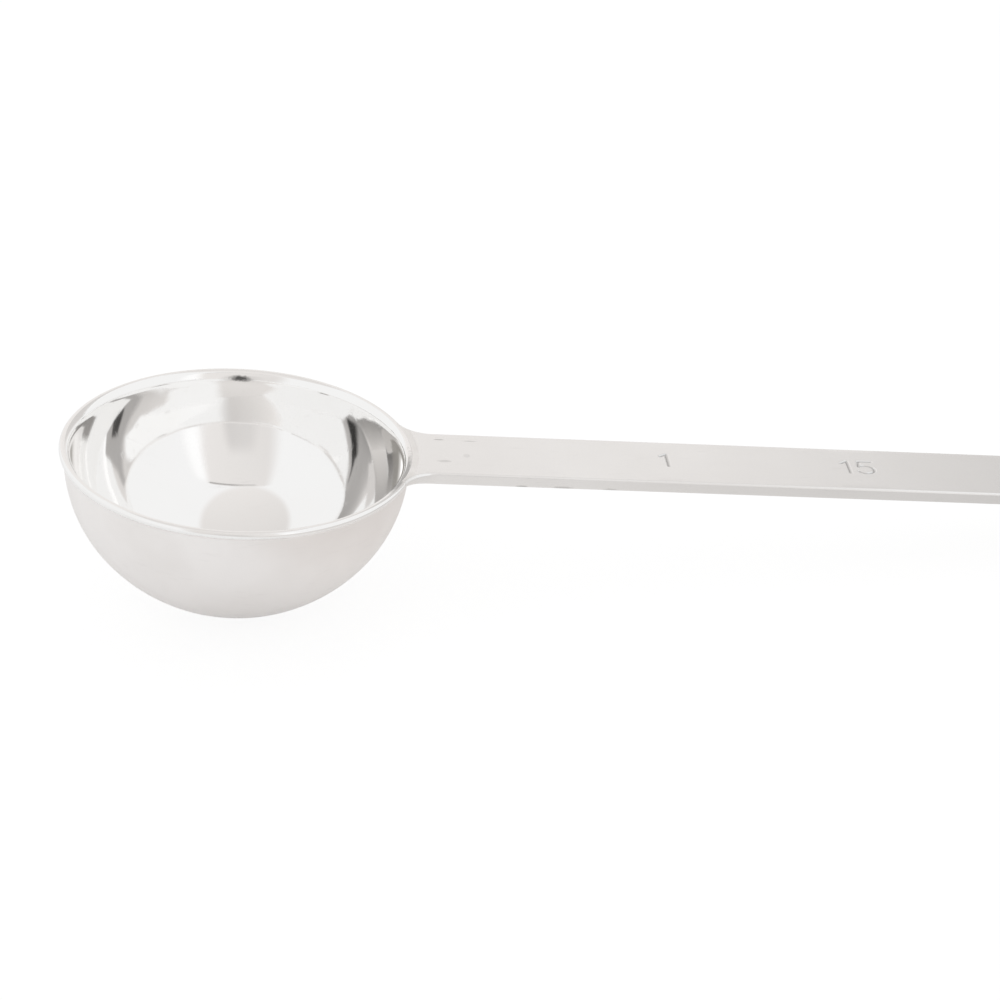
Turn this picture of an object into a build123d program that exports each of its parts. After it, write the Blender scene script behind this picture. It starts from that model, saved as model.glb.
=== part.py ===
from build123d import *
import math
import os

# Cup, all sizes in millimetres. The level rim is at Z = 0 and the cup's axis is the Z axis.
cup_radius = 19.15      # inside, below the lip
cup_depth = 19.05       # from the level rim to the inside of the bottom
wall = 0.8              # thickness of the drawn sheet
lip_diameter = 0.95     # round edge of the lip
lip_overhang = 0.55     # how far the lip stands out from the outside of the cup
neck_run = 0.35         # straight height left under the lip, where the wall turns outward

# Handle
overall_length = 190.0  # from the lip opposite the handle to the handle's end
handle_width = 10.0
handle_thickness = 1.5
handle_edge = 0.3       # rounding of the bar's long edges
root_fillet = 5.5       # plan radius where the bar spreads to meet the cup
hole_diameter = 5.5     # hanging hole
hole_inset = 7.0        # from the hole's centre to the handle's end
hole_edge = 0.2         # rounding of the hole's two mouths

# Weld between them
weld_width = 0.8        # filler between the lip and the end of the bar
weld_dish = 0.1         # how far the polished filler sinks between them
weld_leg = 2.4          # radius of the concave fillet under the handle
seam_share = 0.9        # share of the spread root that the filler runs along, before it thins away

# Sizes worked out from those above
outer_radius = cup_radius + wall
rim_radius = outer_radius + lip_overhang
lip_radius = lip_diameter / 2
crown_radius = rim_radius - lip_radius
neck_height = lip_diameter + neck_run
joint_radius = rim_radius + weld_width
half_width = handle_width / 2
tip_x = overall_length - rim_radius
cutter_height = 4 * handle_thickness


def meet_lip(start_radius, side):
    """Where an arc that leaves the wall upright, at the neck, runs smoothly into the lip.

    side is -1 on the inside of the wall, where the lip lies within the arc's circle, and 1 on the outside,
    where the two circles touch from opposite sides.
    """
    lean = start_radius - crown_radius
    rise = neck_height - lip_radius
    arc_radius = (lean**2 + rise**2 - lip_radius**2) / (2 * (side * lip_radius - lean))
    lip_centre = Vector(crown_radius, -lip_radius)
    arc_centre = Vector(start_radius + arc_radius, -neck_height)
    return arc_centre + (lip_centre - arc_centre).normalized() * arc_radius


def flank_radius(radius, depth):
    """Radius of the arc that rises to the neck: that of an ellipse as wide and as high at its flank."""
    return (depth - neck_height) ** 2 / radius


def quarter_wall(radius, depth):
    """Half of the cup's section under the neck: a bottom arc that runs smoothly into a flank arc."""
    height = depth - neck_height
    bottom_radius = radius * (radius + height) / (2 * height)
    bottom_centre = Vector(0, bottom_radius - depth)
    towards_flank = Vector((radius + height) / radius, -(radius + 2 * height) / (2 * height)).normalized()
    meeting = bottom_centre + towards_flank * bottom_radius
    bottom = TangentArc((0, -depth), meeting, tangent=(1, 0))
    flank = TangentArc((radius, -neck_height), meeting, tangent=(0, -1))
    return [bottom, flank]


def neck_arc(start_radius, contact):
    """The arc from the top of the wall to its point of contact with the lip."""
    return TangentArc((start_radius, -neck_height), contact, tangent=(0, 1))


def revolved(lines):
    """A closed outline turned about the Z axis, so that its seam lies opposite the handle."""
    section = Plane((0, 0, 0), x_dir=(-1, 0, 0), z_dir=(0, 1, 0))
    return revolve(section * make_face(lines), Axis.Z)


def lip_point(angle):
    """A point on the round edge of the lip, at an angle above its outermost point."""
    return Vector(crown_radius + lip_radius * math.cos(angle), lip_radius * math.sin(angle) - lip_radius)


def outside_lines():
    """Section of the outside of the cup, from the bottom to the lip."""
    contact = meet_lip(outer_radius, 1)
    return quarter_wall(outer_radius, cup_depth + wall) + [neck_arc(outer_radius, contact)]


def make_bowl():
    """The drawn cup with its flared, full-round lip."""
    inner_contact = meet_lip(cup_radius, -1)
    lines = outside_lines() + quarter_wall(cup_radius, cup_depth) + [
        ThreePointArc(meet_lip(outer_radius, 1), lip_point(math.pi / 2), inner_contact),
        neck_arc(cup_radius, inner_contact),
        Line((0, -cup_depth), (0, -cup_depth - wall)),
    ]
    return revolved(Curve() + lines)


def make_filled_cup():
    """The space that the cup takes up, filled level, which trims what is joined to its outside."""
    crown = lip_point(math.pi / 2)
    lines = outside_lines() + [
        ThreePointArc(meet_lip(outer_radius, 1), lip_point(math.pi / 4), crown),
        Line(crown, (0, 0)),
        Line((0, 0), (0, -cup_depth - wall)),
    ]
    return revolved(Curve() + lines)


def root_arc():
    """Centre of the root's concave arc, and the point where it runs along the outside of the cup."""
    centre_y = half_width + root_fillet
    centre = Vector(math.sqrt((outer_radius + root_fillet) ** 2 - centre_y**2), centre_y)
    return centre, centre * (outer_radius / (outer_radius + root_fillet))


def blank_outline():
    """Plan of the bar, spread at its root by two concave arcs and round at its far end."""
    centre, contact = root_arc()
    end_x = tip_x - half_width
    lines = [
        Line((contact.X, -contact.Y), (contact.X, contact.Y)),
        TangentArc((centre.X, half_width), contact, tangent=(-1, 0)),
        Line((centre.X, half_width), (end_x, half_width)),
        ThreePointArc((end_x, half_width), (tip_x, 0), (end_x, -half_width)),
        Line((end_x, -half_width), (centre.X, -half_width)),
        TangentArc((centre.X, -half_width), (contact.X, -contact.Y), tangent=(-1, 0)),
    ]
    return make_face(Curve() + lines)


def make_blank():
    """The bar and its root as one plate, with long edges rounded, before it is divided at the joint."""
    plate = extrude(blank_outline(), -handle_thickness)
    root_edges = plate.faces().sort_by(Axis.X)[0].edges()
    long_edges = plate.edges().filter_by(Axis.Z, reverse=True) - root_edges
    return fillet(long_edges, handle_edge)


def make_handle(blank):
    """The bar, from the weld to its rounded end, with the hanging hole."""
    bar = blank - Cylinder(joint_radius, cutter_height)
    hole_x = tip_x - hole_inset
    bar -= Pos(hole_x, 0, 0) * Cylinder(hole_diameter / 2, cutter_height)
    rings = bar.edges().filter_by(GeomType.CIRCLE)
    mouths = rings.filter_by(lambda ring: abs(ring.radius - hole_diameter / 2) < hole_edge / 2)
    return fillet(mouths, hole_edge)


def wall_radius_at(depth):
    """Outside radius of the cup's flank at a depth below the rim, under the neck."""
    arc_radius = flank_radius(outer_radius, cup_depth + wall)
    return outer_radius - arc_radius + math.sqrt(arc_radius**2 - (depth - neck_height) ** 2)


def make_weld(blank, filled_cup):
    """The filler: level with rim and bar on top, and a concave fillet under the bar."""
    _, contact = root_arc()
    seam = Box(overall_length, 2 * seam_share * contact.Y, cutter_height)
    top = blank & Cylinder(joint_radius, cutter_height) & seam
    dish_line = Line((crown_radius, 0), (joint_radius, 0))
    dish_bottom = ((crown_radius + joint_radius) / 2, -weld_dish)
    dish_arc = ThreePointArc((crown_radius, 0), dish_bottom, (joint_radius, 0))
    top -= revolved(Curve() + [dish_line, dish_arc])

    foot = handle_thickness + weld_leg
    foot_radius = wall_radius_at(foot)
    reach = foot_radius + weld_leg
    lines = [
        Line((cup_radius, -foot), (foot_radius, -foot)),
        TangentArc((reach, -handle_thickness), (foot_radius, -foot), tangent=(-1, 0)),
        Line((reach, -handle_thickness), (cup_radius, -handle_thickness)),
        Line((cup_radius, -handle_thickness), (cup_radius, -foot)),
    ]
    bead_end = Plane.YZ * Pos(0, -handle_thickness) * Ellipse(half_width - handle_edge, weld_leg)
    under = revolved(Curve() + lines) & extrude(bead_end, overall_length)
    return (top + under) - filled_cup


filled_cup = make_filled_cup()
blank = make_blank()
parts = {
    "bowl": make_bowl(),
    "handle": make_handle(blank),
    "weld": make_weld(blank, filled_cup),
}

os.makedirs("parts", exist_ok=True)
for name, shape in parts.items():
    export_step(shape, f"parts/{name}.step")
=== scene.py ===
import math

import bmesh
import bpy
from mathutils import Euler, Matrix, Vector
from mathutils.geometry import tessellate_polygon


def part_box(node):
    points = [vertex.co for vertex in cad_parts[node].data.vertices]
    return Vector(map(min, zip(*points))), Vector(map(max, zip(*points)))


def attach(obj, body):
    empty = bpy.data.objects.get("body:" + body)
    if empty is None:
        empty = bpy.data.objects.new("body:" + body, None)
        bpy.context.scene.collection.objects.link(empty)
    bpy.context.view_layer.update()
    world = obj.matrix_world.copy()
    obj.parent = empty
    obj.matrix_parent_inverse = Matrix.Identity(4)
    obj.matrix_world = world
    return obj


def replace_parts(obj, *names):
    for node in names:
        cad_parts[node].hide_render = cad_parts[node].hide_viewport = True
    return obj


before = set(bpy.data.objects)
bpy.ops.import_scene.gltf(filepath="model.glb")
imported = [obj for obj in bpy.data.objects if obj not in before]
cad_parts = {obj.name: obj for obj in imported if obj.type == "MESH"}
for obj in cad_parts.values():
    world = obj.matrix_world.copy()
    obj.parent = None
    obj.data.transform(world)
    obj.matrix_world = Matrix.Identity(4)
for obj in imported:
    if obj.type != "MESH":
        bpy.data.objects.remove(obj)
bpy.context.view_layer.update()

MM = 0.001

# The spoon's main sizes, read from the frame
bowl_low, bowl_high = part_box("bowl")
handle_low, handle_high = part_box("handle")
RIM_RADIUS = bowl_high.x
CUP_DEPTH_OUTSIDE = -bowl_low.z
TIP_X = handle_high.x
BAR_THICKNESS = -handle_low.z

# Cup: sheet, neck and rolled lip
SHEET = 0.8 * MM
LIP_RADIUS = 0.475 * MM
LIP_OVERHANG = 0.55 * MM
NECK_HEIGHT = 1.3 * MM
OUTER_RADIUS = RIM_RADIUS - LIP_OVERHANG
INNER_RADIUS = OUTER_RADIUS - SHEET
CROWN_RADIUS = RIM_RADIUS - LIP_RADIUS

# Bar, its spread root and its hanging hole
BAR_HALF_WIDTH = 5.0 * MM
BAR_EDGE = 0.3 * MM
ROOT_RADIUS = 4.3 * MM
WELD_WIDTH = 0.8 * MM
JOINT_RADIUS = RIM_RADIUS + WELD_WIDTH
HOLE_RADIUS = 2.75 * MM
HOLE_INSET = 7.0 * MM
HOLE_X = TIP_X - HOLE_INSET
HOLE_EDGE = 0.2 * MM

# Weld: a shallow dish on top, and a concave fillet under the bar
WELD_DISH = 0.06 * MM
WELD_LEG = 2.4 * MM
FILLET_TOP = (2 * LIP_RADIUS + BAR_THICKNESS) / 2
FILLET_SPAN_SHARE = 0.99
FILLET_SINK = 0.2 * MM

# Numerals stamped in the top of the bar
MARK_HEIGHT = 2.9 * MM
MARK_MIDDLE_Y = 0.45 * MM
STROKE_HALF = 0.25 * MM
STAMP_DEPTH = 0.16 * MM
STAMP_GRID = 0.06 * MM
STAMP_MARGIN = 2.2 * STROKE_HALF
GROOVE_POWER = 0.7

# How finely the meshes are divided
CUP_SEGMENTS = 256
BOTTOM_STEPS = 36
FLANK_STEPS = 24
NECK_STEPS = 5
LIP_STEPS = 16
EDGE_STEPS = 5
ROOT_STATIONS = 16
WELD_STATIONS = 8
FILLET_STEPS = 8
FILLET_COLUMNS = 14
TIP_STEPS = 48
HOLE_STEPS = 64
BEND_STEPS = 14
BAR_STEP = 4 * MM
BORDER_SHARES = (0.3, 0.7)
BAR_UNDER_SHARES = [-0.6, -0.2, 0.2, 0.6]
WELD_UNDER_SHARES = [i / 6 - 1 for i in range(1, 12)]

# The photograph's view, in the frame of the spoon
CAMERA_PLACE = (-3.46 * MM, -266.84 * MM, 141.44 * MM)
CAMERA_ANGLES = (61.17, -4.90, -4.68)
CAMERA_LENS = 93.38
CAMERA_SENSOR = 36
CAMERA_NEAR = 10 * MM
SPOON_TURN = 4.66


# Mesh building

def face_outward(mesh):
    """Turns every face of a closed mesh to the outside."""
    work = bmesh.new()
    work.from_mesh(mesh)
    bmesh.ops.recalc_face_normals(work, faces=work.faces[:])
    work.to_mesh(mesh)
    work.free()


def new_object(name, points, faces, materials):
    """A mesh object in the scene."""
    mesh = bpy.data.meshes.new(name)
    mesh.from_pydata([tuple(p) for p in points], [], faces)
    for material in materials:
        mesh.materials.append(material)
    made = bpy.data.objects.new(name, mesh)
    bpy.context.scene.collection.objects.link(made)
    return made


def new_piece(name, points, faces, materials):
    """A smooth shaded, closed mesh that rides on the spoon's body."""
    piece = new_object(name, points, faces, materials)
    piece.data.validate()
    face_outward(piece.data)
    piece.data.shade_smooth()
    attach(piece, "root")
    return piece


def crease(piece, ring):
    """Keeps the shading of an end face apart from that of the faces round it."""
    ring = set(ring)
    for edge in piece.data.edges:
        if edge.vertices[0] in ring and edge.vertices[1] in ring:
            edge.use_edge_sharp = True


def even_shading(piece):
    """Large flat faces stay flat beside narrow rounded edges."""
    shading = piece.modifiers.new("flat_faces_first", "WEIGHTED_NORMAL")
    shading.keep_sharp = True


def clamp(share):
    return min(max(share, 0.0), 1.0)


def smoothstep(share):
    """An even rise from 0 to 1, level at both ends."""
    share = clamp(share)
    return share * share * (3 - 2 * share)


def strip(lower, upper, closed=True):
    """Quads between two rows of vertex numbers."""
    count = len(lower)
    pairs = [(i, (i + 1) % count) for i in range(count if closed else count - 1)]
    return [(lower[i], lower[j], upper[j], upper[i]) for i, j in pairs]


def divided(start, end, count):
    """Values from start to end in equal steps, without the first."""
    return [start + (end - start) * (i + 1) / count for i in range(count)]


def rows_of(count, size, first=0):
    """Vertex numbers in rows of one size."""
    return [list(range(first + i * size, first + (i + 1) * size)) for i in range(count)]


def ring_points(radius, height, steps, centre_x=0):
    """Points of a level circle."""
    angles = [2 * math.pi * i / steps for i in range(steps)]
    return [Vector((centre_x + radius * math.cos(a), radius * math.sin(a), height)) for a in angles]


def fan(pole, ring):
    """Triangles from one vertex number to a closed ring of them."""
    return [(pole, ring[i - 1], ring[i]) for i in range(len(ring))]


# The cup

def arc_points(centre, radius, start, end, steps):
    """Points along an arc between two angles in radians, without its first point."""
    angles = divided(start, end, steps)
    return [(centre[0] + radius * math.cos(a), centre[1] + radius * math.sin(a)) for a in angles]


def wall_points(radius, depth):
    """Points of the pressed wall from the bottom to the neck: a bottom arc, then a flank arc."""
    height = depth - NECK_HEIGHT
    bottom_radius = radius * (radius + height) / (2 * height)
    flank_radius = height**2 / radius
    bottom_centre = (0, bottom_radius - depth)
    flank_centre = (radius - flank_radius, -NECK_HEIGHT)
    meeting = math.atan2(flank_centre[1] - bottom_centre[1], flank_centre[0] - bottom_centre[0])
    if bottom_radius < flank_radius:
        meeting += math.pi
    bottom = arc_points(bottom_centre, bottom_radius, -math.pi / 2, meeting, BOTTOM_STEPS)
    return bottom + arc_points(flank_centre, flank_radius, meeting, 0, FLANK_STEPS)


def meet_lip(start_radius, side):
    """The arc from the upright wall at the neck into the lip: its centre, radius and point of contact."""
    lean = start_radius - CROWN_RADIUS
    rise = NECK_HEIGHT - LIP_RADIUS
    arc_radius = (lean**2 + rise**2 - LIP_RADIUS**2) / (2 * (side * LIP_RADIUS - lean))
    lip_centre = Vector((CROWN_RADIUS, -LIP_RADIUS))
    arc_centre = Vector((start_radius + arc_radius, -NECK_HEIGHT))
    contact = arc_centre + (lip_centre - arc_centre).normalized() * arc_radius
    return arc_centre, arc_radius, contact


def neck_points(start_radius, side):
    """Points from the top of the wall up to the lip, and the contact's angle on the lip's circle."""
    centre, radius, contact = meet_lip(start_radius, side)
    end = math.atan2(contact.y - centre.y, contact.x - centre.x)
    end = end % (2 * math.pi)
    points = arc_points(centre, radius, math.pi, end, NECK_STEPS)
    lip_angle = math.atan2(contact.y + LIP_RADIUS, contact.x - CROWN_RADIUS)
    return points, lip_angle


def cup_section():
    """The cup's half section, from inside bottom over the lip to outside bottom, and the lip's two ends."""
    inside = wall_points(INNER_RADIUS, CUP_DEPTH_OUTSIDE - SHEET)
    inside_neck, inside_angle = neck_points(INNER_RADIUS, -1)
    outside = wall_points(OUTER_RADIUS, CUP_DEPTH_OUTSIDE)
    outside_neck, outside_angle = neck_points(OUTER_RADIUS, 1)
    lip = arc_points((CROWN_RADIUS, -LIP_RADIUS), LIP_RADIUS, inside_angle, outside_angle, LIP_STEPS)
    down = list(reversed(outside + outside_neck[:-1]))
    section = inside + inside_neck + lip + down
    lip_start = len(inside + inside_neck) - 1
    return section, lip_start, lip_start + LIP_STEPS


def build_cup(materials):
    """The cup turned about its axis from its half section. Inside, lip and outside have their own finish."""
    section, lip_start, lip_end = cup_section()
    points = [p for radius, height in section for p in ring_points(radius, height, CUP_SEGMENTS)]
    rings = rows_of(len(section), CUP_SEGMENTS)
    inside_pole = len(points)
    outside_pole = inside_pole + 1
    points += [(0, 0, SHEET - CUP_DEPTH_OUTSIDE), (0, 0, -CUP_DEPTH_OUTSIDE)]
    faces = fan(inside_pole, rings[0])
    finish = [0] * CUP_SEGMENTS
    for i in range(len(rings) - 1):
        faces += strip(rings[i], rings[i + 1])
        finish += [0 if i < lip_start else 1 if i < lip_end else 2] * CUP_SEGMENTS
    faces += fan(outside_pole, rings[-1])
    finish += [2] * CUP_SEGMENTS
    cup = new_piece("cup", points, faces, materials)
    cup.data.polygons.foreach_set("material_index", finish)
    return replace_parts(cup, "bowl")


# The bar's root, where it spreads to meet the lip

ROOT_CENTRE_Y = BAR_HALF_WIDTH + ROOT_RADIUS
ROOT_CENTRE_X = math.sqrt((RIM_RADIUS + ROOT_RADIUS) ** 2 - ROOT_CENTRE_Y**2)
ROOT_START = math.atan2(-ROOT_CENTRE_Y, -ROOT_CENTRE_X)
ROOT_END = -math.pi / 2


def root_angle(distance):
    """Angle on the root arc of the point at a distance from the cup's axis."""
    reach = math.hypot(ROOT_CENTRE_X, ROOT_CENTRE_Y)
    cosine = (reach**2 + ROOT_RADIUS**2 - distance**2) / (2 * reach * ROOT_RADIUS)
    return ROOT_START + math.acos(max(-1.0, min(1.0, cosine)))


def root_edge(angle):
    """Place, inward direction, edge rounding and thickness where the spread root's edge is at this angle."""
    inward = Vector((math.cos(angle), math.sin(angle)))
    place = Vector((ROOT_CENTRE_X, ROOT_CENTRE_Y)) + inward * ROOT_RADIUS
    blend = smoothstep((angle - ROOT_START) / (ROOT_END - ROOT_START))
    rounding = LIP_RADIUS + (BAR_EDGE - LIP_RADIUS) * blend
    thickness = 2 * LIP_RADIUS + (BAR_THICKNESS - 2 * LIP_RADIUS) * blend
    return place, inward, rounding, thickness


def edge_profile(rounding, thickness):
    """Inset and height pairs down a rounded edge, from the top face to the bottom face."""
    quarter = [math.pi / 2 * i / EDGE_STEPS for i in range(EDGE_STEPS + 1)]
    upper = [(rounding * (1 - math.sin(q)), rounding * (math.cos(q) - 1)) for q in quarter]
    lower = [(inset, -thickness - height) for inset, height in reversed(upper)]
    return upper + lower


def section_loop(place, inward, rounding, thickness, bow, columns, bottom_columns, height_at,
                 circle=JOINT_RADIUS):
    """One closed loop of points round the bar: top face, near edge, bottom face and far edge.

    place and inward are on the far side, and the near side mirrors them. bow says how much the section
    follows a circle round the cup, from 1 at the weld to 0 on the straight bar.
    """
    def across(share, inset, height):
        """The point at a share of the section's half width, with its edge set inward."""
        edge = place + inward * inset
        y = edge.y * share
        reach = math.sqrt(circle**2 - y**2)
        edge_reach = math.sqrt(circle**2 - edge.y**2)
        return Vector((edge.x + bow * (reach - edge_reach), y, height))

    profile = edge_profile(rounding, thickness)
    top_edge = (place + inward * rounding).y
    loop = []
    for share in columns:
        point = across(share, rounding, 0)
        loop.append(Vector((point.x, point.y, height_at(point.x, share * top_edge))))
    for inset, height in profile[1:]:
        loop.append(across(-1, inset, height))
    for share in bottom_columns:
        loop.append(across(share, rounding, -thickness))
    for inset, height in reversed(profile[1:]):
        loop.append(across(1, inset, height))
    return loop


def end_faces(loop, columns, bottom_columns):
    """Faces across a section: narrow triangles that follow its curve from the far to the near edge."""
    top = loop[:len(columns)]
    edge = (len(loop) - len(columns) - len(bottom_columns)) // 2
    near = loop[len(columns) - 1:len(columns) + edge]
    far = loop[len(loop) - edge:] + [loop[0]]
    inner = loop[len(columns) + edge:len(loop) - edge]
    bottom = [far[0]] + list(reversed(inner)) + [near[-1]]
    low_shares = [1] + list(reversed(bottom_columns)) + [-1]
    faces = [tuple(near), tuple(far)]
    i = j = 0
    while i < len(top) - 1 or j < len(bottom) - 1:
        if j == len(bottom) - 1 or (i < len(top) - 1 and columns[i + 1] >= low_shares[j + 1]):
            faces.append((top[i], top[i + 1], bottom[j]))
            i += 1
        else:
            faces.append((top[i], bottom[j + 1], bottom[j]))
            j += 1
    return faces


# Plain numerals, drawn as strokes on a unit square

def bend(centre, radii, start, end):
    """Points of an elliptical stroke between two angles in degrees."""
    angles = [math.radians(turn) for turn in [start] + divided(start, end, BEND_STEPS)]
    return [(centre[0] + radii[0] * math.cos(a), centre[1] + radii[1] * math.sin(a)) for a in angles]


STROKES = {
    "1": [[(0.18, 0.80), (0.45, 1.0), (0.45, 0.0)]],
    "5": [[(0.66, 1.0), (0.14, 1.0), (0.08, 0.56)] + bend((0.34, 0.32), (0.36, 0.32), 130, -150)],
}
# Numerals, and where each starts along the bar, in mm from the cup's axis. The zones are divided finely
MARK = [("1", 49.2), ("1", 71.1), ("5", 73.4)]
MARK_ZONES = [(48.8, 51.6), (70.7, 76.3)]


def mark_segments():
    """Every straight piece of the mark's strokes, in the top face of the bar."""
    segments = []
    base = MARK_MIDDLE_Y - MARK_HEIGHT / 2
    for character, start in MARK:
        for stroke in STROKES[character]:
            line = [Vector((start * MM + x * MARK_HEIGHT, base + y * MARK_HEIGHT)) for x, y in stroke]
            segments += zip(line, line[1:])
    return segments


MARK_SEGMENTS = mark_segments()


def stroke_distance(x, y):
    """Distance from a point of the top face to the nearest stroke, at most a stroke's width."""
    nearest = 2 * STROKE_HALF
    point = Vector((x, y))
    for a, b in MARK_SEGMENTS:
        line = b - a
        share = clamp((point - a).dot(line) / line.length_squared)
        nearest = min(nearest, (point - a - line * share).length)
    return nearest


def stamped_height(x, y):
    """Height of the bar's top face: a rounded groove along each stroke."""
    distance = stroke_distance(x, y) / STROKE_HALF
    if distance < 1:
        return -STAMP_DEPTH * (0.5 + 0.5 * math.cos(math.pi * distance)) ** GROOVE_POWER
    return 0.0


# The bar

def top_columns():
    """Shares of the half width where the top face is divided: finely where the mark is stamped."""
    half = BAR_HALF_WIDTH - BAR_EDGE
    high = MARK_MIDDLE_Y + MARK_HEIGHT / 2 + STAMP_MARGIN
    low = MARK_MIDDLE_Y - MARK_HEIGHT / 2 - STAMP_MARGIN
    steps = round((high - low) / STAMP_GRID)
    fine = [high] + divided(high, low, steps)
    above = [half - (half - high) * share for share in (0, *BORDER_SHARES)]
    below = [low - (half + low) * share for share in (*BORDER_SHARES, 1)]
    return [y / half for y in above + fine + below]


def bar_stations():
    """Places along the bar where it is divided, after its root, up to the plate round the hole."""
    stations = []
    x = ROOT_CENTRE_X
    for start, end in MARK_ZONES:
        low, high = start * MM, end * MM
        stations += divided(x, low, math.ceil((low - x) / BAR_STEP))
        stations += divided(low, high, round((high - low) / STAMP_GRID))
        x = high
    plate = HOLE_X - BAR_HALF_WIDTH
    return stations + divided(x, plate, math.ceil((plate - x) / BAR_STEP))


def bar_loops(columns):
    """Loops round the bar from the weld to the plate round the hole."""
    loops = []
    start = root_angle(JOINT_RADIUS)
    for i in range(ROOT_STATIONS + 1):
        angle = start + (ROOT_END - start) * i / ROOT_STATIONS
        place, inward, rounding, thickness = root_edge(angle)
        bow = 1 - smoothstep(i / ROOT_STATIONS)
        loops.append(section_loop(
            place, inward, rounding, thickness, bow, columns, BAR_UNDER_SHARES, stamped_height))
    for x in bar_stations():
        place, inward = Vector((x, BAR_HALF_WIDTH)), Vector((0, -1))
        loops.append(section_loop(
            place, inward, BAR_EDGE, BAR_THICKNESS, 0, columns, BAR_UNDER_SHARES, stamped_height))
    return loops


def tip_outline():
    """Plan of the bar's round end: each point with its outward direction."""
    centre = Vector((TIP_X - BAR_HALF_WIDTH, 0))
    angles = [math.pi / 2 - math.pi * i / TIP_STEPS for i in range(TIP_STEPS + 1)]
    directions = [Vector((math.cos(angle), math.sin(angle))) for angle in angles]
    return [(centre + outward * BAR_HALF_WIDTH, outward) for outward in directions]


def stamp_share(point):
    """How deep a point lies in the stamped mark: 1 at the bottom of a groove."""
    on_top = abs(point.y) < BAR_HALF_WIDTH - 2 * BAR_EDGE and point.z > -BAR_EDGE
    return clamp(-point.z / STAMP_DEPTH) if on_top else 0.0


def build_bar(material):
    """The bar from the weld to its round end, with the stamped mark and the hanging hole."""
    columns = top_columns()
    loops = bar_loops(columns)
    points = [p for loop in loops for p in loop]
    rows = rows_of(len(loops), len(loops[0]))
    faces = []
    for lower, upper in zip(rows, rows[1:]):
        faces += strip(upper, lower)
    faces += end_faces(rows[0], columns, BAR_UNDER_SHARES)

    profile = edge_profile(BAR_EDGE, BAR_THICKNESS)
    last = rows[-1]
    top_count, edge_count = len(columns), len(profile) - 1
    near_edge = last[top_count - 1:top_count + edge_count]
    far_edge = [last[0]] + list(reversed(last[-edge_count:]))
    bottom_row = [near_edge[-1]] + last[top_count + edge_count:-edge_count] + [far_edge[-1]]
    ribs = [far_edge]
    for place, outward in tip_outline():
        rib = []
        for inset, height in profile:
            edge = place - outward * inset
            rib.append(len(points))
            points.append(Vector((edge.x, edge.y, height)))
        ribs.append(rib)
    ribs.append(near_edge)
    for rib, following in zip(ribs, ribs[1:]):
        faces += strip(rib, following, closed=False)

    hole_profile = edge_profile(HOLE_EDGE, BAR_THICKNESS)
    hole = rows_of(len(hole_profile), HOLE_STEPS, first=len(points))
    for inset, height in hole_profile:
        points += ring_points(HOLE_RADIUS + inset, height, HOLE_STEPS, HOLE_X)
    for upper, lower in zip(hole, hole[1:]):
        faces += strip(upper, lower)

    top_outline = [rib[0] for rib in ribs] + list(reversed(last[1:top_count - 1]))
    bottom_outline = [rib[-1] for rib in ribs] + bottom_row[1:-1]
    for outer, ring in ((top_outline, hole[0]), (bottom_outline, hole[-1])):
        numbers = outer + ring
        plate = tessellate_polygon([[points[n] for n in outer], [points[n] for n in ring]])
        faces += [tuple(numbers[i] for i in triangle) for triangle in plate]

    bar = new_piece("bar", points, faces, [material])
    depth = bar.data.attributes.new("stamp", "FLOAT", "POINT")
    depth.data.foreach_set("value", [stamp_share(p) for p in points])
    crease(bar, rows[0])
    even_shading(bar)
    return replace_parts(bar, "handle")


# The weld

def weld_loops(columns):
    """Loops of the filler's upper part, from the crown of the lip out to the bar."""
    joint_angle = root_angle(JOINT_RADIUS)
    loops = []
    for i in range(WELD_STATIONS + 1):
        share = i / WELD_STATIONS
        place, inward, rounding, thickness = root_edge(ROOT_START + (joint_angle - ROOT_START) * share)
        half = (place + inward * rounding).y
        dip = WELD_DISH * math.sin(math.pi * share) ** 2
        circle = CROWN_RADIUS + (JOINT_RADIUS - CROWN_RADIUS) * share

        def dished(x, y):
            return -dip * (1 - (y / half) ** 2)

        loops.append(section_loop(
            place, inward, rounding, thickness, 1, columns, WELD_UNDER_SHARES, dished, circle))
    return loops


def outside_radius(depth):
    """Outside radius of the cup's flank at a depth below the rim."""
    flank = (CUP_DEPTH_OUTSIDE - NECK_HEIGHT) ** 2 / OUTER_RADIUS
    return OUTER_RADIUS - flank + math.sqrt(flank**2 - (depth - NECK_HEIGHT) ** 2)


def fillet_loops():
    """Sections of the concave fillet under the bar, which grows thin towards its two ends."""
    loops = []
    for j in range(FILLET_COLUMNS + 1):
        across = FILLET_SPAN_SHARE * math.sin(math.pi * (j / FILLET_COLUMNS - 0.5))
        leg = WELD_LEG * math.sqrt(1 - across**2)
        foot = FILLET_TOP + leg
        wall = outside_radius(foot)
        turn = across * (BAR_HALF_WIDTH - BAR_EDGE) / RIM_RADIUS
        section = [(wall + leg, -FILLET_TOP)]
        section += arc_points((wall + leg, -foot), leg, math.pi / 2, math.pi, FILLET_STEPS)
        section += [(wall - FILLET_SINK, -foot), (wall - FILLET_SINK, -FILLET_TOP + FILLET_SINK)]
        loops.append([Vector((r * math.cos(turn), r * math.sin(turn), z)) for r, z in section])
    return loops


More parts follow.
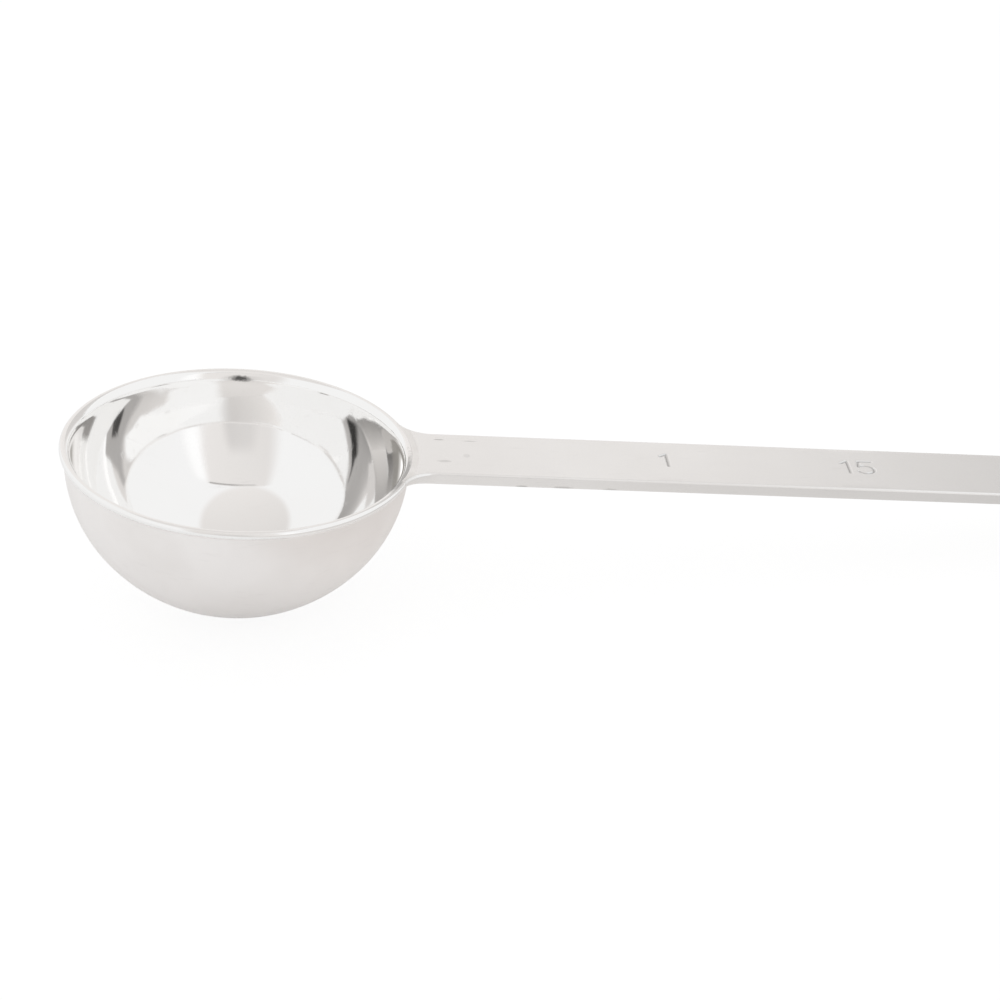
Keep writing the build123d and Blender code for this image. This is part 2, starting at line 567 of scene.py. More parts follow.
def build_weld(material):
    """The dressed weld between lip and bar, level on top, with its fillet under the bar."""
    points, faces, ends = [], [], []
    columns = top_columns()
    upper_part = weld_loops(columns)
    for loops in (upper_part, fillet_loops()):
        rows = rows_of(len(loops), len(loops[0]), first=len(points))
        points += [p for loop in loops for p in loop]
        for lower, upper in zip(rows, rows[1:]):
            faces += strip(upper, lower)
        for row in (rows[0], rows[-1]):
            faces += end_faces(row, columns, WELD_UNDER_SHARES) if loops is upper_part else [tuple(row)]
            ends.append(row)
    weld = new_piece("dressed_weld", points, faces, [material])
    for ring in ends:
        crease(weld, ring)
    even_shading(weld)
    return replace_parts(weld, "weld")


# Shader groups that several finishes share

FLOAT = "NodeSocketFloat"
VECTOR = "NodeSocketVector"
COLOUR = "NodeSocketColor"
STIR_SCALE = 90.0
STIR_REACH = 0.6 * MM
SCRATCH_EDGE = 0.12
SPOT_GRAIN = 2200.0
SPOT_RAGGED = 0.6


def new_group(name, inputs, output, kind=FLOAT):
    """A shader group with a Place and other named inputs, given as (name, kind, starting value)."""
    group = bpy.data.node_groups.new(name, "ShaderNodeTree")
    for label, socket, value in [("Place", VECTOR, (0, 0, 0))] + inputs:
        made = group.interface.new_socket(label, in_out="INPUT", socket_type=socket)
        made.default_value = value
    group.interface.new_socket(output, in_out="OUTPUT", socket_type=kind)
    return group, group.nodes.new("NodeGroupInput").outputs, group.nodes.new("NodeGroupOutput").inputs


def node(tree, kind, operation=None, inputs=(), **values):
    """A shader node with its operation, links and constants set. inputs are (socket, value or output)."""
    made = tree.nodes.new("ShaderNode" + kind)
    if operation:
        made.operation = operation
    for name, value in values.items():
        setattr(made, name, value)
    for socket, value in inputs:
        if isinstance(value, bpy.types.NodeSocket):
            tree.links.new(value, made.inputs[socket])
        else:
            made.inputs[socket].default_value = value
    return made


def math_node(tree, operation, *values):
    return node(tree, "Math", operation, list(enumerate(values))).outputs[0]


def vector_node(tree, operation, *values):
    return node(tree, "VectorMath", operation, list(enumerate(values))).outputs


def noise(tree, place, scale, detail=2.0, roughness=0.5):
    return node(tree, "TexNoise", inputs=[
        ("Vector", place), ("Scale", scale), ("Detail", detail), ("Roughness", roughness)]).outputs


def ramp(tree, value, low, high, start=0.0, end=1.0):
    """Runs from start to end while the value runs from low to high, and stops there."""
    return node(tree, "MapRange", inputs=[
        ("Value", value), ("From Min", low), ("From Max", high),
        ("To Min", start), ("To Max", end)]).outputs[0]


def mix_colours(tree, share, first, second):
    return node(tree, "Mix", data_type="RGBA", inputs=[
        ("Factor", share), ("A", first), ("B", second)]).outputs["Result"]


def scratch_group():
    """Fine scratches: long, thin marks that run the way that Spread is smallest."""
    group, given, put = new_group("fine_scratches", [
        ("Spread", VECTOR, (100, 2000, 100)), ("Rarity", FLOAT, 0.6)], "Mask")
    stir = noise(group, given["Place"], STIR_SCALE)["Color"]
    stirred = vector_node(group, "MULTIPLY_ADD", stir, [STIR_REACH] * 3, given["Place"])[0]
    spread = vector_node(group, "MULTIPLY", stirred, given["Spread"])[0]
    lines = noise(group, spread, scale=1.0, roughness=0.6)[0]
    edge = math_node(group, "ADD", given["Rarity"], SCRATCH_EDGE)
    group.links.new(ramp(group, lines, given["Rarity"], edge), put["Mask"])
    return group


def haze_group():
    """Roughness that drifts between two values, in large soft patches with finer ones in them."""
    group, given, put = new_group("polish_haze", [
        ("Size", FLOAT, 150.0), ("Smooth", FLOAT, 0.1), ("Dull", FLOAT, 0.2)], "Roughness")
    patches = noise(group, given["Place"], given["Size"], detail=4.0, roughness=0.55)[0]
    drift = ramp(group, patches, low=0.3, high=0.7, start=given["Smooth"], end=given["Dull"])
    group.links.new(drift, put["Roughness"])
    return group


def tint_group():
    """Colour that drifts between two steels."""
    group, given, put = new_group("steel_tint", [
        ("Size", FLOAT, 80.0), ("Clear", COLOUR, (0.9, 0.9, 0.9, 1)),
        ("Toned", COLOUR, (0.8, 0.8, 0.8, 1))], "Color", COLOUR)
    drift = noise(group, given["Place"], given["Size"], detail=3.0)[0]
    share = ramp(group, drift, low=0.35, high=0.65)
    group.links.new(mix_colours(group, share, given["Clear"], given["Toned"]), put["Color"])
    return group


def spot_group():
    """One spot, for real wear and for painted shade and reflection: an ellipsoid round Centre, broken up by
    fine grain.
    """
    group, given, put = new_group("wear_and_shade_spot", [
        ("Centre", VECTOR, (0, 0, 0)), ("Reach", VECTOR, (MM, MM, MM)), ("Strength", FLOAT, 1.0)], "Mask")
    offset = vector_node(group, "SUBTRACT", given["Place"], given["Centre"])[0]
    scaled = vector_node(group, "DIVIDE", offset, given["Reach"])[0]
    distance = vector_node(group, "LENGTH", scaled)["Value"]
    grain = noise(group, given["Place"], SPOT_GRAIN)[0]
    ragged = math_node(group, "MULTIPLY_ADD", grain, SPOT_RAGGED, distance)
    group.links.new(ramp(group, ragged, low=1.4, high=0.85, end=given["Strength"]), put["Mask"])
    return group


class Finish:
    """A steel material under construction: its shader, and the groups placed in it."""

    def __init__(self, name, groups):
        self.groups = groups
        self.material = bpy.data.materials.new(name)
        self.material.use_nodes = True
        self.tree = self.material.node_tree
        self.steel = self.tree.nodes["Principled BSDF"]
        self.steel.inputs["Metallic"].default_value = 1
        self.place = node(self.tree, "TexCoord").outputs["Object"]

    def use(self, group, **values):
        """Places a shared group, with its own values, and gives its output."""
        inputs = [("Place", self.place), *values.items()]
        return node(self.tree, "Group", inputs=inputs, node_tree=self.groups[group]).outputs[0]

    def tint(self, size, clear, toned):
        """The steel's colour, in drifts of two shades."""
        return self.use("tint", Size=size, Clear=(*clear, 1), Toned=(*toned, 1))

    def spot(self, centre, reach, strength=1.0):
        """A spot, for wear and for painted shade, whose centre and reach are in mm."""
        centre = [c * MM for c in centre]
        reach = [r * MM for r in reach]
        return self.use("spot", Centre=centre, Reach=reach, Strength=strength)

    def math(self, operation, *values):
        return math_node(self.tree, operation, *values)

    def darken(self, colour, mask, share):
        """The colour times share where the mask is 1."""
        factor = self.math("MULTIPLY_ADD", mask, share - 1, 1.0)
        return node(self.tree, "VectorMath", "SCALE", [(0, colour), ("Scale", factor)]).outputs[0]

    def roughen(self, roughness, mask, more):
        """The roughness, with more of it where the mask is 1."""
        return self.math("MULTIPLY_ADD", mask, more, roughness)

    def waves(self, size, detail=1.0):
        """The slow waves that pressing and polishing leave in sheet."""
        return noise(self.tree, self.place, size, detail)[0]

    def emboss(self, height, distance, under=None):
        """The normal of a height of 0 to 1, laid over another normal."""
        bump = node(self.tree, "Bump", inputs=[("Height", height), ("Distance", distance)])
        if under is not None:
            self.tree.links.new(under, bump.inputs["Normal"])
        return bump.outputs[0]

    def plain_when_mirrored(self, colour, bounces, tone):
        """Painted reflection: a plain glowing tone on black steel instead of the reflection, where more than
        so many mirrors lead to the surface.
        """
        path = node(self.tree, "LightPath")
        deep = self.math("GREATER_THAN", path.outputs["Glossy Depth"], bounces)
        self.steel.inputs["Emission Strength"].default_value = 1
        plain = node(self.tree, "VectorMath", "SCALE", [(0, tone), ("Scale", deep)])
        self.tree.links.new(plain.outputs[0], self.steel.inputs["Emission Color"])
        return self.darken(colour, deep, share=0.0)

    def across_cup(self, left, right):
        """A tone that runs from the cup's left side to the side at the handle."""
        apart = node(self.tree, "SeparateXYZ", inputs=[(0, self.place)])
        run = ramp(self.tree, apart.outputs["X"], -INNER_RADIUS / 2, INNER_RADIUS / 2)
        return mix_colours(self.tree, run, left, right)

    def inside_of(self, radius, fade):
        """1 nearer to the cup's axis than a radius."""
        level = vector_node(self.tree, "MULTIPLY", self.place, (1, 1, 0))[0]
        distance = vector_node(self.tree, "LENGTH", level)["Value"]
        return ramp(self.tree, distance, radius + fade, radius)

    def done(self, colour, roughness, normal):
        for socket, value in (("Base Color", colour), ("Roughness", roughness), ("Normal", normal)):
            self.tree.links.new(value, self.steel.inputs[socket])
        return self.material


# The finishes

# Rays that have met more mirrors than these get a painted reflection, a plain glowing tone, instead of a
# real one
LAST_MIRROR_INSIDE = 3.5
LAST_MIRROR_LIP = 0.5
# Tones of the painted reflection inside the cup, from its left side to the side at the handle
PAINTED_REFLECTION_LEFT = (0.26, 0.25, 0.235, 1)
PAINTED_REFLECTION_RIGHT = (0.76, 0.75, 0.745, 1)
LIP_PAINTED_REFLECTION = (0.905, 0.905, 0.90)

# A dark reflection painted under the far rim, in mm: centre and reach
PAINTED_DARK_REFLECTION = ((0.3, 19.8, -0.9), (1.7, 1.2, 0.45))
# Painted shade on the lip near the weld, in mm: centre and reach
PAINTED_LIP_SHADE = ((18.7, -5.5, 0), (2.0, 6.8, 1.0))
# The worn spots of the bar near the weld, in mm: centre, reach and strength
SCUFFS = [
    ((23.6, 3.4, 0), (0.7, 0.16, 0.4), 0.6),
    ((27.2, 3.3, 0), (0.9, 0.10, 0.4), 0.5),
    ((23.9, -1.9, 0), (0.9, 0.35, 0.4), 0.30),
    ((26.6, -0.4, 0), (0.5, 0.5, 0.4), 0.18),
    ((32.8, -5.0, -1.4), (0.8, 0.5, 0.25), 0.6),
    ((37.6, -5.0, -1.3), (1.3, 0.5, 0.2), 0.45),
    ((43.2, -5.0, -1.4), (1.0, 0.5, 0.25), 0.4),
]


def mirror_polish(groups):
    """Inside of the cup: a mirror with faint waves from pressing and hair scratches from use."""
    finish = Finish("mirror_polish", groups)
    colour = finish.tint(size=70.0, clear=(0.98, 0.977, 0.972), toned=(0.968, 0.963, 0.955))
    # Painted dark reflection: a dark spot under the far rim
    colour = finish.darken(colour, finish.spot(*PAINTED_DARK_REFLECTION), share=0.15)
    # Painted reflection: deep in the cup's mirrors the steel glows with a plain tone
    painted_reflection_tone = finish.across_cup(PAINTED_REFLECTION_LEFT, PAINTED_REFLECTION_RIGHT)
    colour = finish.plain_when_mirrored(colour, LAST_MIRROR_INSIDE, painted_reflection_tone)
    scratches = finish.use("scratch", Spread=(150, 1500, 700), Rarity=0.63)
    roughness = finish.use("haze", Size=160.0, Smooth=0.03, Dull=0.07)
    roughness = finish.roughen(roughness, scratches, more=0.12)
    waved = finish.emboss(finish.waves(size=170.0), distance=0.03 * MM)
    return finish.done(colour, roughness, finish.emboss(scratches, distance=0.0015 * MM, under=waved))


def bright_lip(groups):
    """The rolled lip, buffed bright, with small nicks."""
    finish = Finish("bright_lip", groups)
    colour = finish.tint(size=200.0, clear=(0.975, 0.97, 0.965), toned=(0.955, 0.95, 0.94))
    scratches = finish.use("scratch", Spread=(400, 400, 2500), Rarity=0.62)
    roughness = finish.use("haze", Size=300.0, Smooth=0.08, Dull=0.16)
    roughness = finish.roughen(roughness, scratches, more=0.10)
    waved = finish.emboss(finish.waves(size=240.0), distance=0.015 * MM)
    # Painted reflection: where the lip is seen in a mirror it glows a plain tone
    colour = finish.plain_when_mirrored(colour, LAST_MIRROR_LIP, LIP_PAINTED_REFLECTION)
    # Painted shade: the inner side of the lip is darkened near the weld
    inner = finish.inside_of(radius=CROWN_RADIUS + 0.05 * MM, fade=0.15 * MM)
    lip_shade = finish.math("MULTIPLY", finish.spot(*PAINTED_LIP_SHADE), inner)
    colour = finish.darken(colour, lip_shade, share=0.48)
    return finish.done(colour, roughness, finish.emboss(scratches, distance=0.001 * MM, under=waved))


def soft_polish(groups):
    """Outside of the cup: a softer polish, mottled, with fine scratches from handling."""
    finish = Finish("soft_polish", groups)
    colour = finish.tint(size=110.0, clear=(0.945, 0.92, 0.905), toned=(0.905, 0.878, 0.86))
    scratches = finish.use("scratch", Spread=(260, 260, 1900), Rarity=0.62)
    colour = finish.darken(colour, scratches, share=0.965)
    roughness = finish.use("haze", Size=140.0, Smooth=0.29, Dull=0.36)
    roughness = finish.roughen(roughness, scratches, more=0.05)
    waved = finish.emboss(finish.waves(size=190.0, detail=2.0), distance=0.05 * MM)
    return finish.done(colour, roughness, waved)


def satin_bar(groups):
    """The bar: ground along its length, scuffed near the weld, and rougher and darker in the stamped
    numerals, whose darkening is partly their oxide and partly painted shade.
    """
    finish = Finish("satin_bar", groups)
    colour = finish.tint(size=60.0, clear=(0.957, 0.957, 0.953), toned=(0.937, 0.934, 0.928))
    grain = finish.use("scratch", Spread=(60, 2600, 2600), Rarity=0.54)
    marks = finish.use("scratch", Spread=(260, 1400, 900), Rarity=0.66)
    colour = finish.darken(colour, marks, share=0.95)
    for scuff in SCUFFS:
        colour = finish.darken(colour, finish.spot(*scuff), share=0.45)
    stamp = node(finish.tree, "Attribute", attribute_name="stamp").outputs["Fac"]
    # Painted shade in the numerals' grooves, partly their dark oxide
    colour = finish.darken(colour, stamp, share=0.62)
    roughness = finish.use("haze", Size=120.0, Smooth=0.16, Dull=0.21)
    roughness = finish.roughen(roughness, grain, more=0.03)
    roughness = finish.roughen(roughness, stamp, more=0.03)
    waved = finish.emboss(finish.waves(size=110.0, detail=2.0), distance=0.03 * MM)
    ground = finish.emboss(grain, distance=0.0012 * MM, under=waved)
    return finish.done(colour, roughness, finish.emboss(marks, distance=0.001 * MM, under=ground))


def dressed_weld(groups):
    """The weld, ground back and buffed across the bar."""
    finish = Finish("dressed_weld", groups)
    colour = finish.tint(size=400.0, clear=(0.955, 0.95, 0.94), toned=(0.90, 0.89, 0.875))
    marks = finish.use("scratch", Spread=(2200, 300, 1500), Rarity=0.56)
    roughness = finish.use("haze", Size=500.0, Smooth=0.29, Dull=0.36)
    roughness = finish.roughen(roughness, marks, more=0.08)
    waved = finish.emboss(finish.waves(size=600.0, detail=2.0), distance=0.03 * MM)
    return finish.done(colour, roughness, finish.emboss(marks, distance=0.003 * MM, under=waved))


def steel_finishes():
    groups = {"scratch": scratch_group(), "haze": haze_group(), "tint": tint_group(), "spot": spot_group()}
    return [make(groups) for make in (mirror_polish, bright_lip, soft_polish, satin_bar, dressed_weld)]


# Studio

FLOOR_HALF = 3.0
FLOOR_WHITE = (0.93, 0.93, 0.93, 1)
FLOOR_ROUGHNESS = 0.9
# Strength of the floor's own glow, and its share in what the camera and all other rays see
FLOOR_GLOW = 1.06
GLOW_SHARE = 0.13
GLOW_SHARE_CAMERA = 0.83
# Strength of the world as light, and in the reflections of metal. The camera sees it at 1
WORLD_LIGHT = 0.9
WORLD_IN_METAL = 0.922
LEAN_ROUNDS = 8


def floor_lean():
    """Lean of the spoon as it lies on the cup's bottom and the end of the bar, and the cup's axis height."""
    lean = 0.0
    for _ in range(LEAN_ROUNDS):
        reach = math.hypot(OUTER_RADIUS * math.sin(lean), (CUP_DEPTH_OUTSIDE - NECK_HEIGHT) * math.cos(lean))
        depth = reach + NECK_HEIGHT * math.cos(lean)
        lean = math.asin((depth - BAR_THICKNESS * math.cos(lean)) / (TIP_X - BAR_EDGE))
    return lean, depth


LEAN, FLOOR_DEPTH = floor_lean()
STUDIO = Matrix.Rotation(-LEAN, 3, "Y") @ Matrix.Rotation(-math.radians(SPOON_TURN), 3, "Z")


def background_rays(tree):
    """1 for the camera's rays, and 1 for those that metal or glass sends on to the background."""
    path = node(tree, "LightPath").outputs
    sent_on = math_node(tree, "MAXIMUM", path["Is Glossy Ray"], path["Is Transmission Ray"])
    return path["Is Camera Ray"], sent_on


def white_world():
    """White for the camera, and a touch less for the reflections of metal and for the light."""
    world = bpy.data.worlds.new("white_studio")
    bpy.context.scene.world = world
    world.use_nodes = True
    tree = world.node_tree
    seen, glossy = background_rays(tree)
    soft = math_node(tree, "MULTIPLY_ADD", glossy, WORLD_IN_METAL - WORLD_LIGHT, WORLD_LIGHT)
    background = tree.nodes["Background"]
    background.inputs["Color"].default_value = (1, 1, 1, 1)
    tree.links.new(math_node(tree, "MAXIMUM", seen, soft), background.inputs["Strength"])


def floor_material():
    """White table, clear from below: mostly plain white to the camera, with a faint shadow, and lit
    paper to metal.
    """
    material = bpy.data.materials.new("white_floor")
    material.use_nodes = True
    tree = material.node_tree
    paper = tree.nodes["Principled BSDF"]
    paper.inputs["Base Color"].default_value = FLOOR_WHITE
    paper.inputs["Roughness"].default_value = FLOOR_ROUGHNESS
    paper.inputs["Specular IOR Level"].default_value = 0.0
    seen, _ = background_rays(tree)
    share = math_node(tree, "MULTIPLY_ADD", seen, GLOW_SHARE_CAMERA - GLOW_SHARE, GLOW_SHARE)
    glow = node(tree, "Emission", inputs=[("Strength", FLOOR_GLOW)])
    lit = node(tree, "MixShader", inputs=[(0, share), (1, paper.outputs[0]), (2, glow.outputs[0])])
    clear = node(tree, "BsdfTransparent")
    under = node(tree, "NewGeometry").outputs["Backfacing"]
    sided = node(tree, "MixShader", inputs=[(0, under), (1, lit.outputs[0]), (2, clear.outputs[0])])
    tree.links.new(sided.outputs[0], tree.nodes["Material Output"].inputs["Surface"])
    return material


def white_floor():
    """The table, which the spoon's lean tilts in the spoon's own frame."""
    turn = Matrix.Rotation(-LEAN, 3, "Y")
    sides = ((-1, -1), (1, -1), (1, 1), (-1, 1))
    corners = [turn @ Vector((x * FLOOR_HALF, y * FLOOR_HALF, -FLOOR_DEPTH)) for x, y in sides]
    new_object("floor", corners, [(0, 1, 2, 3)], [floor_material()])


# Cards round the table and over the cup, which show only in the metal

BORDER_STEPS = 6
MIDDLE_STEPS = 4
DISC_STEPS = 72
TABLE_GAP = 0.5 * MM
MOUTH_GAP = 1.2 * MM
MOUTH_STEP = 0.01 * MM
WARM = (1.0, 0.97, 0.95, 1)
WHITE = (1.0, 1.0, 1.0, 1)
# More reflections than any ray has
ENDLESS = 99


def card_material(name, first, last, colour=WARM):
    """Glow for a card that shows from the first to the last of a ray's reflections, and not otherwise."""
    material = bpy.data.materials.new(name)
    material.use_nodes = True
    tree = material.node_tree
    tree.nodes.clear()
    tone = node(tree, "Attribute", attribute_name="tone").outputs["Fac"]
    share = node(tree, "Attribute", attribute_name="share").outputs["Fac"]
    depth = node(tree, "LightPath").outputs["Glossy Depth"]
    late = math_node(tree, "GREATER_THAN", depth, first - 0.5)
    early = math_node(tree, "LESS_THAN", depth, last + 0.5)
    share = math_node(tree, "MULTIPLY", share, math_node(tree, "MULTIPLY", late, early))
    glow = node(tree, "Emission", inputs=[("Color", colour), ("Strength", tone)])
    clear = node(tree, "BsdfTransparent")
    mix = node(tree, "MixShader", inputs=[(0, share), (1, clear.outputs[0]), (2, glow.outputs[0])])
    node(tree, "OutputMaterial", inputs=[("Surface", mix.outputs[0])])
    return material


def hang_card(name, points, faces, tones, shares, material, turn=STUDIO):
    """Hangs a card in the studio. Only reflections see it."""
    piece = new_object(name, [turn @ Vector(p) for p in points], faces, [material])
    for label, values in (("tone", tones), ("share", shares)):
        piece.data.attributes.new(label, "FLOAT", "POINT").data.foreach_set("value", values)
    for rays in ("camera", "diffuse", "shadow", "transmission"):
        setattr(piece, "visible_" + rays, False)


def borders(low, high, soft_low, soft_high):
    """Grid lines across a card as (place, share) pairs: close together in its two soft borders."""
    lines = [(low + soft_low * (i / BORDER_STEPS - 0.5), smoothstep(i / BORDER_STEPS))
             for i in range(BORDER_STEPS + 1)]
    start, end = low + soft_low / 2, high - soft_high / 2
    lines += [(start + (end - start) * i / MIDDLE_STEPS, 1.0) for i in range(1, MIDDLE_STEPS)]
    lines += [(high + soft_high * (i / BORDER_STEPS - 0.5), smoothstep(1 - i / BORDER_STEPS))
              for i in range(BORDER_STEPS + 1)]
    return lines


def soft_card(name, place, material, bottom, heights, tones, soft, top=None, turn=STUDIO):
    """A card with soft borders. place turns its two coordinates into a point of the studio.

    bottom and top are its left and right ends at its low and high edge, the same without top, and heights
    its low and high edge. tones are those of its corners, round from low left, and soft its border widths:
    left, right, low, high.
    """
    top = top or bottom
    rows = borders(heights[0], heights[1], soft[2], soft[3])
    points, values, shares = [], [], []
    for height, row_share in rows:
        rise = clamp((height - heights[0]) / (heights[1] - heights[0]))
        left = bottom[0] + (top[0] - bottom[0]) * rise
        right = bottom[1] + (top[1] - bottom[1]) * rise
        for x, column_share in borders(left, right, soft[0], soft[1]):
            run = clamp((x - left) / (right - left))
            low = tones[0] + (tones[1] - tones[0]) * run
            high = tones[3] + (tones[2] - tones[3]) * run
            points.append(place(x, height))
            values.append(low + (high - low) * rise)
            shares.append(row_share * column_share)
    grid = rows_of(len(rows), len(points) // len(rows))
    faces = []
    for lower, upper in zip(grid, grid[1:]):
        faces += strip(lower, upper, closed=False)
    hang_card(name, points, faces, values, shares, material, turn)


def wall_card(name, away, material, **shape):
    """An upright card in front (negative) or behind, measured in shares of its distance."""
    distance = abs(away)
    soft_card(name, lambda x, height: (x * distance, away, height * distance), material, **shape)


def table_card(name, level, material, **shape):
    """A card that lies on the table, measured in metres."""
    soft_card(name, lambda x, y: (x, y, level), material, **shape)


def mouth_card(name, place, material, **shape):
    """A card just over the cup's mouth, in millimetres of the spoon's own frame.

    place is its turn upward, because cards at one level would hide each other.
    """
    level = MOUTH_GAP + place * MOUTH_STEP
    soft_card(name, lambda x, y: (x * MM, y * MM, level), material, turn=Matrix.Identity(3), **shape)


def round_card(name, material, height, reach, tone, slope, soft):
    """A level card with a soft round border, over the spoon. slope is how its tone changes along X and Y."""
    points, values, shares = [(0, 0, height)], [tone], [1.0]
    for i in range(2 * BORDER_STEPS + 1):
        size = 1 - soft / 2 + soft * i / (2 * BORDER_STEPS)
        for k in range(DISC_STEPS):
            angle = 2 * math.pi * k / DISC_STEPS
            x, y = reach[0] * size * math.cos(angle), reach[1] * size * math.sin(angle)
            points.append((x * height, y * height, height))
            values.append(tone + slope[0] * x + slope[1] * y)
            shares.append(smoothstep((1 - size) / soft + 0.5))
    rings = rows_of(2 * BORDER_STEPS + 1, DISC_STEPS, first=1)
    faces = fan(0, rings[0])
    for inner, outer in zip(rings, rings[1:]):
        faces += strip(inner, outer)
    hang_card(name, points, faces, values, shares, material)


def studio_cards():
    """The cards, each for the reflections that its material names."""
    always = card_material("card_in_all_reflections", 1, ENDLESS)
    once = card_material("card_in_first_reflections", 1, 1)
    once_white = card_material("window_in_first_reflections", 1, 1, WHITE)
    twice = card_material("card_in_second_reflections", 2, 2)
    later_white = card_material("window_in_later_reflections", 2, ENDLESS, WHITE)
    later = card_material("card_in_later_reflections", 2, ENDLESS)
    twice_white = card_material("light_in_second_reflections", 2, 2, WHITE)
    third = card_material("card_in_third_reflections", 3, 3)
    fourth = card_material("card_in_fourth_reflections", 4, ENDLESS)

    round_card("overhead_card", always, height=1.0, reach=(0.50, 0.56), tone=0.785,
               slope=(0.04, -0.10), soft=0.21)

    # What shows once: in the middle of the cup, on its outside and along the bar
    wall_card("back_wall", 1.04, once, bottom=(-0.72, 1.10),
              heights=(0.0, 1.97), tones=(0.90, 0.80, 0.80, 0.88), soft=(0.22, 0.42, 0.08, 0.53))
    wall_card("back_shade", 1.00, once, bottom=(0.34, 1.30),
              heights=(0.10, 1.20), tones=[0.66] * 4, soft=(0.25, 0.30, 0.10, 0.30))
    wall_card("window_strip", -1.08, once_white, bottom=(0.62, 0.99), top=(0.80, 1.29),
              heights=(0.05, 1.67), tones=(1.03, 1.03, 1.0, 1.0), soft=(0.06, 0.35, 0.58, 0.39))
    wall_card("front_wall", -1.04, once, bottom=(-0.36, 0.52), top=(-0.52, 1.00),
              heights=(-0.28, 1.82), tones=(0.745, 0.85, 0.82, 0.785), soft=(0.29, 0.26, 0.36, 0.07))
    wall_card("front_shade", -1.02, once, bottom=(-0.15, 0.30), top=(-0.11, 0.27),
              heights=(-0.30, 0.64), tones=(0.70, 0.65, 0.675, 0.715), soft=(0.17, 0.16, 0.02, 0.37))
    wall_card("front_seam", -1.00, once, bottom=(-0.16, 0.92), top=(-0.22, 0.96),
              heights=(1.715, 1.785), tones=(0.45, 0.35, 0.35, 0.45), soft=(0.15, 0.10, 0.03, 0.03))
    table_card("table_shade", TABLE_GAP - FLOOR_DEPTH, once, bottom=(0.015, 0.135),
               heights=(-0.30, 0.10), tones=(0.79, 0.56, 0.56, 0.79), soft=(0.03, 0.05, 0.08, 0.03))

    # What shows twice or more: in the flanks of the cup
    wall_card("far_wall", 1.10, later, bottom=(-0.42, 1.33), top=(-0.30, 1.41),
              heights=(0.11, 5.0), tones=(0.60, 0.89, 0.70, 0.76), soft=(0.55, 0.68, 0.14, 0.57))
    wall_card("light_strip", -1.06, later_white, bottom=(0.78, 1.12), top=(0.85, 1.20),
              heights=(0.30, 1.40), tones=(1.08, 1.02, 1.02, 1.08), soft=(0.08, 0.25, 0.10, 0.30))
    wall_card("flank_grey_left", -0.0160, twice, bottom=(0.73, 2.19), top=(-0.61, 0.55),
              heights=(0.18, 1.35), tones=(0.60, 0.60, 0.89, 0.89), soft=(0.12, 0.08, 0.05, 0.12))
    wall_card("flank_low_left", -0.0159, twice, bottom=(0.86, 2.10),
              heights=(-0.25, 0.635), tones=(0.40, 0.44, 0.44, 0.44), soft=(0.22, 0.08, 0.06, 0.08))
    wall_card("flank_dark_left", -0.0158, twice, bottom=(1.33, 1.85), top=(1.19, 1.54),
              heights=(0.13, 0.41), tones=(0.06, 0.08, 0.08, 0.06), soft=(0.08, 0.10, 0.06, 0.05))
    wall_card("flank_grey_right", -0.0161, twice, bottom=(-1.86, -0.36), top=(-2.45, -0.78),
              heights=(0.32, 1.60), tones=(0.12, 0.54, 0.26, 0.96), soft=(0.25, 0.07, 0.05, 0.15))
    wall_card("flank_dark_right", -0.0157, twice, bottom=(-1.14, -0.82), top=(-0.88, -0.53),
              heights=(0.38, 0.61), tones=[0.04] * 4, soft=(0.25, 0.07, 0.05, 0.04))

    # Close over the mouth, where the rays of the two flanks are still apart
    mouth_card("left_light_low", 0, twice_white, bottom=(1.5, 9.8), top=(1.5, 12.5),
               heights=(-8.1, -4.5), tones=[0.98] * 4, soft=(1.0, 0.7, 0.4, 0.1))
    mouth_card("left_light", 1, twice_white, bottom=(1.5, 12.5), top=(1.5, 12.2),
               heights=(-4.5, 3.6), tones=[0.98] * 4, soft=(1.0, 0.7, 0.1, 1.6))
    mouth_card("left_light_top", 2, twice_white, bottom=(1.5, 6.6), top=(1.5, 6.9),
               heights=(-11.0, -8.1), tones=[0.94] * 4, soft=(1.0, 0.8, 0.6, 0.2))
    mouth_card("right_light_low", 3, twice_white, bottom=(-20.0, -3.0), top=(-12.4, -3.0),
               heights=(-14.0, -8.7), tones=[0.91] * 4, soft=(0.8, 1.0, 0.5, 0.3))
    mouth_card("right_light", 4, twice_white, bottom=(-11.7, -3.0), top=(-11.5, -3.0),
               heights=(-8.7, -3.0), tones=[0.92] * 4, soft=(0.7, 1.0, 0.3, 0.6))
    mouth_card("right_second", 5, twice, bottom=(-24.0, -18.0), top=(-22.0, -12.9),
               heights=(1.0, 11.5), tones=[0.67] * 4, soft=(0.5, 1.0, 1.4, 0.6))
    mouth_card("right_third_low", 6, third, bottom=(-21.0, -12.0), top=(-21.0, -13.0),
               heights=(-8.8, -3.4), tones=(0.31, 0.31, 0.66, 0.66), soft=(0.5, 0.4, 0.3, 0.1))
    mouth_card("right_third", 7, third, bottom=(-21.0, -13.0), top=(-20.0, -13.0),
               heights=(-3.4, 9.5), tones=(0.70, 0.70, 0.42, 0.42), soft=(0.5, 0.4, 0.1, 0.6))
    mouth_card("right_fourth_low", 8, fourth, bottom=(-22.0, -13.5), top=(-22.0, -14.0),
               heights=(-9.0, -2.8), tones=(0.48, 0.48, 0.60, 0.60), soft=(0.5, 0.4, 0.3, 0.6))
    mouth_card("right_fourth", 9, fourth, bottom=(-22.0, -14.0),
               heights=(-2.8, 9.0), tones=(0.17, 0.17, 0.46, 0.46), soft=(0.5, 0.4, 0.6, 0.6))
    mouth_card("left_fourth", 10, fourth, bottom=(13.0, 22.0),
               heights=(-10.0, -3.4), tones=(0.27, 0.27, 0.36, 0.36), soft=(0.6, 0.5, 0.5, 2.4))


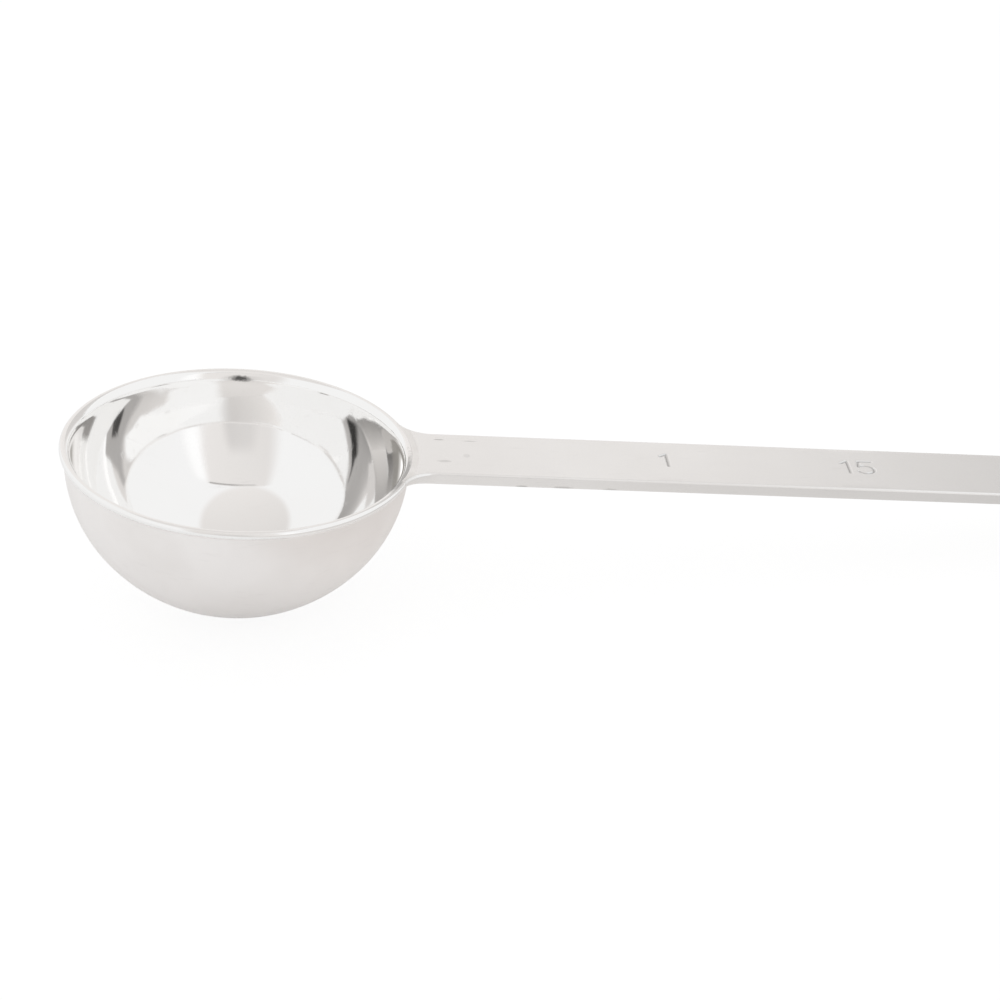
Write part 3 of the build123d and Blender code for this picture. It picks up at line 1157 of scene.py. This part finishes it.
def photo_camera():
    """The photograph's view of the spoon."""
    data = bpy.data.cameras.new("photo_camera")
    data.lens = CAMERA_LENS
    data.sensor_width = CAMERA_SENSOR
    data.clip_start = CAMERA_NEAR
    camera = bpy.data.objects.new("photo_camera", data)
    camera.location = CAMERA_PLACE
    camera.rotation_euler = Euler([math.radians(a) for a in CAMERA_ANGLES])
    bpy.context.scene.collection.objects.link(camera)
    bpy.context.scene.camera = camera


photo_camera()
white_world()
white_floor()
studio_cards()

mirror, bright, soft, satin, dressed = steel_finishes()
build_cup([mirror, bright, soft])
build_bar(satin)
build_weld(dressed)

bpy.context.scene.view_settings.view_transform = "Standard"
